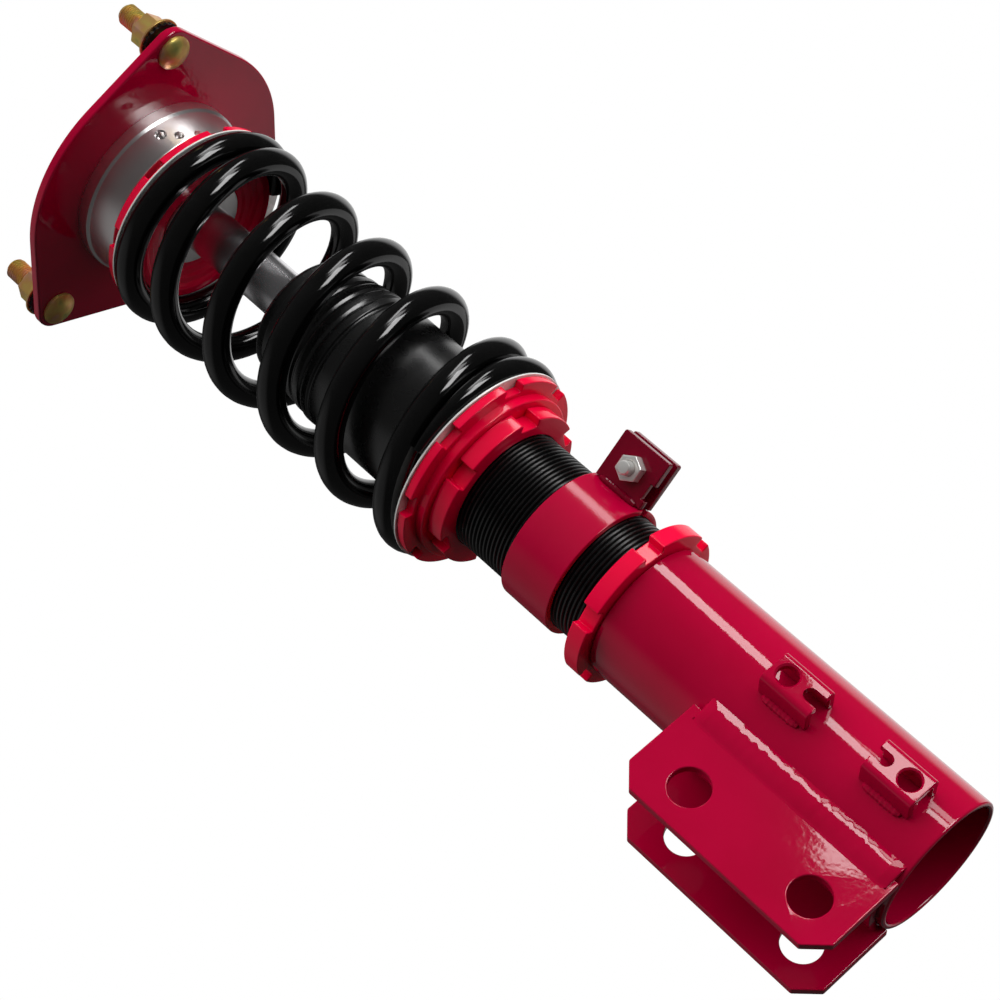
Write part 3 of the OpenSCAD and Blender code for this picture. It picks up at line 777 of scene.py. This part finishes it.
def build_lower_seat():
    z = SEAT_Z
    shape = Shape()
    shape.prism(notched(45.0, 8, 22), [circle(34.0)], z + 4.0, z + 8.0, 0.45)
    boss = [
        (RING_BORE_R, z + 0.5, 0), (RING_BORE_R + 0.5, z, 0), (39, z, 0.6), (39, z + 4.3, 0),
        (35.8, z + 7.5, 0), (35.8, z + 13, 1.0), (RING_BORE_R + 0.5, z + 13, 0), (RING_BORE_R, z + 12.5, 0),
    ]
    shape.turned(rounded(boss, 0, 3), 160)
    shape.finish("lower_spring_seat", MATERIALS["red_anodised"])
    ring_washer(244.41, "lower_seat_washer")


def build_lock_ring(node, z, first):
    shape = Shape().prism(notched(36.0, 6, first), [circle(RING_BORE_R)], z, z + LOCK_H, 0.5)
    shape.finish(node, MATERIALS["red_anodised"])


# ---------------------------------------------------------------- body and boot


def build_body():
    shape = Shape().turned(
        [(23, 75), (26.6, 75), (27.3, 75.7), (27.3, 98), (THREAD_ROOT_R, 99)]
        + [(100, 261, THREAD_R - 0.01, THREAD_ROOT_R, THREAD_PITCH)]
        + [(THREAD_ROOT_R, 262), (THREAD_R, 263), (THREAD_R, 324.5), (27, 325), (23, 325)],
        128,
    )
    shape.finish("threaded_body", MATERIALS["black_thread"])


def build_boot():
    """Smooth skirt over the body, soft ribs above it and a lip around the rod."""
    outer = [(27.6, 262.6, 0.3), (31.2, 262.6, 0.8), (32, 265, 2), (32, 313.2, 1.5), (30.7, 314.6, 0.8)]
    for i in range(5):
        z, crest = 315.5 + 6.3 * i, 32 - 0.8 * i
        outer += [(crest, z + 0.2, 0.5), (crest, z + 3.6, 1.6), (crest - 1.8, z + 5.0, 0.8)]
    outer += [(28.2, 348, 0.8), (28.2, 351.7, 1.5), (25.5, 354.4, 1.2), (11.3, 354.4, 0.3)]
    inner = [(11.3, 351.5, 0.3), (21.5, 351.5, 1), (24, 349.4, 1), (26, 330, 0), (27.6, 326.5, 0.5)]
    shape = Shape().turned(rounded(outer + inner, 0, 5), 160)
    shape.finish("dust_boot", MATERIALS["boot_rubber"], 50)


# ---------------------------------------------------------------- clamp

CLAMP_Z, CLAMP_H, CLAMP_AZ, CLAMP_R = 174.3, 25.5, 140.5, 30.3
TAB_GAP, TAB_T, TAB_REACH = 4.0, 3.5, 51.9
BOLT_R, BOLT_Z = 41.2, 186.3


def build_clamp():
    gap_out = math.degrees(math.asin(TAB_GAP / 2 / CLAMP_R))
    gap_in = math.degrees(math.asin(TAB_GAP / 2 / RING_BORE_R))
    outline = arc((0, 0), CLAMP_R, gap_out, 360 - gap_out, 140)
    outline += arc((0, 0), RING_BORE_R, 360 - gap_in, gap_in, 140)
    here = lay(0, CLAMP_AZ)
    collar = Shape().prism(outline, [], CLAMP_Z, CLAMP_Z + CLAMP_H, 0.45, here)
    collar.finish("clamp_collar", MATERIALS["satin_red_paint"])

    tabs = Shape()
    low, high = CLAMP_Z + 0.4, CLAMP_Z + 24.4
    hole = circle(3.2, 32, (BOLT_R, BOLT_Z))
    for side in (-1, 1):
        notch = [(34, low, 0.2), (34, low + 2, 0.4), (41, low + 2, 0.4), (41, low, 0.2)] if side < 0 else []
        foot = CLAMP_R + 0.15
        tip = [(TAB_REACH, low, 1), (TAB_REACH, high, 1), (foot, high, 0.2)]
        plate = rounded([(foot, low, 0.2)] + notch + tip, 0)
        start = TAB_GAP / 2 if side > 0 else -TAB_GAP / 2 - TAB_T
        upright = here @ Matrix.Translation((0, start + TAB_T, 0)) @ TO_MINUS_Y
        tabs.prism(plate, [hole], 0, TAB_T, 0.4, upright)
        face = side * (TAB_GAP / 2 + TAB_T)
        tabs.bead(
            here @ Vector((CLAMP_R + 0.2, face, low + 2)), here @ Vector((CLAMP_R + 0.2, face, high - 2)),
            3.2, 1.7, 0.06, here.to_3x3() @ Vector((1, side, 0)), 3 + side,
        )
    # The tabs' paint is darkened as painted shade; they are the same paint as the collar.
    tabs.finish("clamp_tabs", MATERIALS["shade_darkened_red_paint"])

    outside = TAB_GAP / 2 + TAB_T + 0.03
    across = here @ Matrix.Translation((BOLT_R, 0, BOLT_Z)) @ TO_MINUS_Y
    bolt = Shape()
    head = [(0, -outside - 4), (3.9, -outside - 4), (4.6, -outside - 3.4)]
    head += [(4.6, -outside - 0.3), (0, -outside - 0.3)]
    bolt.turned(head, 48, across)
    bolt.prism(rounded(hex_profile(10.0), 0.4, 3), [], -outside - 3.8, -outside, 0.5, across)
    shank = [(0, -outside - 1), (2.95, -outside - 1), (2.95, 0), (2.5, 0.4)]
    tail = [(2.6, outside + 8.8), (2.4, outside + 9.15), (1.6, outside + 9.35), (0, outside + 9.38)]
    bolt.turned(shank + [(0.8, outside + 8.4, 2.97, 2.4, 1.0)] + tail, 32, across)
    bolt.finish("clamp_bolt", MATERIALS["bright_zinc"])

    nut = Shape()
    hex_body(nut, 10.0, 3.05, outside, outside + 5.0, across, 0.5)
    nut.finish("clamp_nut", MATERIALS["bright_zinc"])


# ---------------------------------------------------------------- bracket

TUBE_R, TUBE_H = 30.0, 150.4
EAR_Y, EAR_T, EAR_H, EAR_REACH, EAR_CHAMFER = 21.4, 4.0, 100.5, 66.7, 8.4
KNUCKLE_X, KNUCKLE_Z, KNUCKLE_HOLE_R = 50.5, (18.2, 77.4), 8.25


def build_tube():
    profile = [
        (RING_BORE_R, 0, 0.9), (TUBE_R, 0, 1.0), (TUBE_R, TUBE_H, 0.9), (RING_BORE_R, TUBE_H, 0.6),
    ]
    shape = Shape().turned(rounded(profile, 0, 4), 192)
    shape.finish("bracket_tube", MATERIALS["red_paint"])


def build_clevis():
    shape = Shape()
    foot = math.sqrt((TUBE_R + 0.04) ** 2 - (EAR_Y - EAR_T) ** 2) + 0.05
    outline = [
        (foot, 0.02, 0.5), (EAR_REACH - EAR_CHAMFER, 0.02, 1.5), (EAR_REACH, EAR_CHAMFER, 1.5),
        (EAR_REACH, EAR_H - EAR_CHAMFER, 1.5), (EAR_REACH - EAR_CHAMFER, EAR_H, 1.5), (foot, EAR_H, 0.5),
    ]
    holes = [circle(KNUCKLE_HOLE_R, 64, (KNUCKLE_X, z)) for z in KNUCKLE_Z]
    for face in (EAR_Y, -EAR_Y + EAR_T):
        upright = Matrix.Translation((0, face, 0)) @ TO_MINUS_Y
        shape.prism(rounded(outline, 0), holes, 0, EAR_T, 0.5, upright)
    reach = math.degrees(math.asin((EAR_Y - 1) / (TUBE_R + 3.5)))
    web = arc((0, 0), TUBE_R + 3.5, -reach, reach, 40)
    web += arc((0, 0), TUBE_R + 0.04, reach, -reach, 40)
    shape.prism(web, [], 3, EAR_H - 3, 0.4)
    shape.finish("clevis_bracket", MATERIALS["red_paint"])


def build_clevis_welds():
    """Two long fillets, rippled as they were laid and softened by the paint."""
    shape = Shape()
    z0, z1, rows, across = 2.0, 96.5, 240, 16
    for side in (-1, 1):
        verts, faces = [], []
        for i in range(rows + 1):
            t = i / rows
            z = z0 + (z1 - z0) * t
            end = min(1.0, min(t, 1 - t) * 22) ** 0.5
            ripple = 0.025 * math.sin(z * 1.1 + 1.5 * math.sin(z * 0.17))
            ripple += 0.3 * noise.noise((z * 0.06, side, 0)) + 0.1 * noise.noise((z * 0.3, side, 5))
            for k in range(across + 1):
                s = k / across
                x = 18.4 + 12.2 * s * (0.9 + 0.1 * end)
                y = 23.75 - 2.32 * s
                y += (0.35 + (1.0 + ripple) * end) * math.sin(math.pi * s) - 0.28
                verts.append((x, side * max(y, EAR_Y + 0.03), z))
            verts.append((29.8, side * (EAR_Y + 0.03), z))
            verts.append((21.1, side * (EAR_Y + 0.03), z))
        n = across + 3
        for i in range(rows):
            for k in range(n):
                a, b = i * n + k, i * n + (k + 1) % n
                faces.append((a, b, b + n, a + n))
        faces += [tuple(range(n)), tuple(range(rows * n, rows * n + n))]
        shape.add(verts, faces, weld=False)
    shape.finish("clevis_welds", MATERIALS["red_paint"], 60)


def build_hose_bracket(node, base, flip):
    """U-shaped channel on the tube with a tapped hole and a key slot in its face."""
    half, face, wall, length = 7.75, 40.0, 3.0, 23.4
    foot = math.sqrt(TUBE_R**2 - half**2) + 0.25
    channel = [
        (-half, foot, 0.4), (-half, face, 2.6), (half, face, 2.6), (half, foot, 0.4),
        (half - wall, foot + 0.8, 0.4), (half - wall, face - wall, 0.8),
        (-half + wall, face - wall, 0.8), (-half + wall, foot + 0.8, 0.4),
    ]
    place = Matrix.Translation((0, 0, base))
    if flip:
        place = Matrix.Translation((0, 0, base + length)) @ Matrix.Diagonal((1, 1, -1, 1))
    shape = Shape().prism(rounded(channel, 0, 5), [], 0, length, 0.45, place)
    tool = Shape()
    hole = Matrix.Translation((0, face + 1, 7.0)) @ TO_MINUS_Y
    tool.turned([(0, 0), (5.2, 0), (5.2, 0.9), (4.4, 1.7), (4.4, 6), (0, 6)], 48, place @ hole)
    slot_r, slot_z = 2.95, length - 8 + 2.95
    slot = arc((0, slot_z), slot_r, -180, 0, 24) + [(slot_r, length + 2), (-slot_r, length + 2)]
    upright = Matrix.Translation((0, face + 1, 0)) @ TO_MINUS_Y
    tool.prism(slot, [], 0, 6, 0.05, place @ upright)
    shape.cut(tool)
    for side in (-1, 1):
        root = (side * (half + 0.3), math.sqrt(TUBE_R**2 - (half + 0.3) ** 2) + 0.4)
        shape.bead((*root, base + 2.5), (*root, base + length - 2.5), 3.4, 1.6, 0.08, (side, 1.2, 0), base)
    shape.finish(node, MATERIALS["red_paint"])


build_top_plate()
build_studs()
build_bearing_housing()
build_rod()
build_collar()
build_upper_seat()
build_spring()
build_lower_seat()
build_lock_ring("seat_lock_ring", SEAT_LOCK_Z, 53.7)
build_lock_ring("lower_lock_ring", TUBE_H + 0.3, 37.5)
build_body()
build_boot()
build_clamp()
build_tube()
build_clevis()
build_clevis_welds()
build_hose_bracket("upper_hose_bracket", 62.0, True)
build_hose_bracket("lower_hose_bracket", 12.6, False)

# ---------------------------------------------------------------- stage, light and camera

MIDDLE = Vector((0, 0, -0.23))
CAMERA_RIGHT = Vector((-0.7322, -0.0255, -0.6806))
CAMERA_DOWN = Vector((0.5737, -0.5616, -0.5962))
CAMERA_AHEAD = Vector((-0.367, -0.827, 0.4259))
CAMERA_PLACE = Vector((0.3714, 0.8252, -0.6567))
CAMERA_LENS, CAMERA_SENSOR = 90.02, 36.0
FLOOR_Z, FLOOR_REACH = -0.78, 6


def build_camera():
    data = bpy.data.cameras.new("camera")
    data.sensor_width = CAMERA_SENSOR
    data.lens = CAMERA_LENS
    data.clip_start = 0.01
    camera = bpy.data.objects.new("camera", data)
    turn = Matrix((CAMERA_RIGHT, -CAMERA_DOWN, -CAMERA_AHEAD)).transposed()
    camera.matrix_world = Matrix.Translation(CAMERA_PLACE) @ turn.to_4x4()
    bpy.context.scene.collection.objects.link(camera)
    bpy.context.scene.camera = camera


def towards(right, up, back):
    """A direction in the frame, given along the view's right, up and back."""
    return (CAMERA_RIGHT * right - CAMERA_DOWN * up - CAMERA_AHEAD * back).normalized()


def softbox(name, direction, distance, size, radiance, roll=0.0):
    """A rectangular light seen only in reflections; its first side runs along the view's right."""
    data = bpy.data.lights.new(name, "AREA")
    data.shape = "RECTANGLE"
    data.size, data.size_y = size
    data.energy = math.pi * size[0] * size[1] * radiance
    light = bpy.data.objects.new(name, data)
    across = (CAMERA_RIGHT - direction * CAMERA_RIGHT.dot(direction)).normalized()
    turn = Matrix((across, direction.cross(across), direction)).transposed().to_4x4()
    turn = turn @ Matrix.Rotation(roll, 4, "Z")
    light.matrix_world = Matrix.Translation(MIDDLE + direction * distance) @ turn
    light.visible_diffuse = False
    bpy.context.scene.collection.objects.link(light)


def build_floor():
    """A plain pale floor, low enough to stay under the camera."""
    mesh = bpy.data.meshes.new("floor")
    signs = ((-1, -1), (1, -1), (1, 1), (-1, 1))
    corners = [(x * FLOOR_REACH, y * FLOOR_REACH, FLOOR_Z) for x, y in signs]
    mesh.from_pydata(corners, [], [(0, 1, 2, 3)])
    floor = bpy.data.objects.new("floor", mesh)
    bpy.context.scene.collection.objects.link(floor)
    floor.visible_glossy = False
    floor.visible_diffuse = False
    m = Nodes("floor", (0.86, 0.86, 0.86), 0.0, 0.7)
    m.use(m.between(m.noise(20, 3), 0.62, 0.74), "Roughness")
    mesh.materials.append(m.material)


class Sky:
    """The world: white behind the object, broad soft panels in what it reflects."""

    def __init__(self):
        world = bpy.data.worlds.new("studio")
        world.use_nodes = True
        bpy.context.scene.world = world
        self.tree = world.node_tree
        self.way = self.tree.nodes.new("ShaderNodeTexCoord").outputs["Generated"]
        self.path = self.tree.nodes.new("ShaderNodeLightPath")

    def slope(self, direction, low, high, brightness):
        """Rises smoothly to brightness as the way looked along nears direction."""
        dot = self.tree.nodes.new("ShaderNodeVectorMath")
        dot.operation = "DOT_PRODUCT"
        self.tree.links.new(self.way, dot.inputs[0])
        dot.inputs[1].default_value = direction
        rise = self.tree.nodes.new("ShaderNodeMapRange")
        rise.interpolation_type = "SMOOTHSTEP"
        rise.inputs["From Min"].default_value = low
        rise.inputs["From Max"].default_value = high
        rise.inputs["To Max"].default_value = brightness
        self.tree.links.new(dot.outputs["Value"], rise.inputs["Value"])
        return rise.outputs[0]

    def total(self, base, *parts):
        last = base
        for part in parts:
            node = self.tree.nodes.new("ShaderNodeMath")
            if isinstance(last, float):
                node.inputs[0].default_value = last
            else:
                self.tree.links.new(last, node.inputs[0])
            self.tree.links.new(part, node.inputs[1])
            last = node.outputs[0]
        return last

    def choose(self, ray, off, on):
        """on for that kind of ray, off for the others."""
        mix = self.tree.nodes.new("ShaderNodeMix")
        self.tree.links.new(self.path.outputs[ray], mix.inputs[0])
        for socket, value in ((2, off), (3, on)):
            if isinstance(value, float):
                mix.inputs[socket].default_value = value
            else:
                self.tree.links.new(value, mix.inputs[socket])
        return mix.outputs[0]

    def build(self):
        panels = self.total(
            0.05,
            self.slope(towards(-0.85, -0.5, -0.15), 0.7, 0.95, 0.17),
            self.slope(towards(0.25, 0.35, -0.9), 0.86, 0.96, 0.9),
        )
        soft = self.slope(towards(-0.03, 0.92, -0.39), -0.5, 0.5, 1.7)
        light = self.choose("Is Glossy Ray", soft, panels)
        light = self.choose("Is Camera Ray", light, 1.0)
        self.tree.links.new(light, self.tree.nodes["Background"].inputs["Strength"])
        self.tree.nodes["Background"].inputs["Color"].default_value = (1, 1, 1, 1)


build_camera()
build_floor()
Sky().build()
softbox("key", towards(0.68, 0.46, 0.65), 1.6, (0.6, 0.8), 11.0)
softbox("overhead", towards(0.228, 0.926, 0.298), 1.51, (0.21, 1.0), 8.0)
softbox("shoulder", towards(0.43, 0.74, 0.5), 1.55, (0.4, 0.6), 4.5)
softbox("card", towards(0.736, -0.262, -0.624), 1.135, (0.5, 0.9), 0.4, math.radians(-65.5))
bpy.context.scene.view_settings.view_transform = "Standard"
